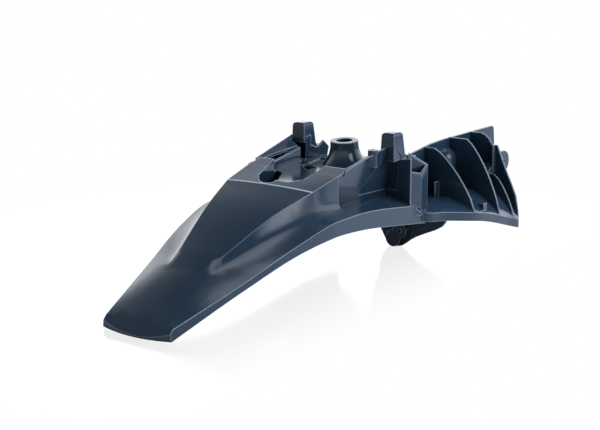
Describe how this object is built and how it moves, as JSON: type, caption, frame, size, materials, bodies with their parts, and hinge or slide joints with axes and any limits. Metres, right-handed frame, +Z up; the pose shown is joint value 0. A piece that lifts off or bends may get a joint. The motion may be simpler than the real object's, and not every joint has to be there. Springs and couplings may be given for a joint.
{
  "type": "motorcycle rear fender",
  "caption": "Moulded rear mudguard for an off-road motorcycle: tapering tail blade, raised deck with a sunk tray and seat boss, side pockets, towers and a ribbed front section.",
  "frame": {"origin": "bottom centre of the bounding box", "axes": "+Y forward along the motorcycle, +X to the rider's right, +Z up"},
  "size_m": [0.2438, 0.7384, 0.1825],
  "materials": {
    "moulding": "navy polypropylene, satin to glossy as moulded"
  },
  "bodies": {
    "root": {"rear_fender": "moulding"}
  },
  "joints": []
}
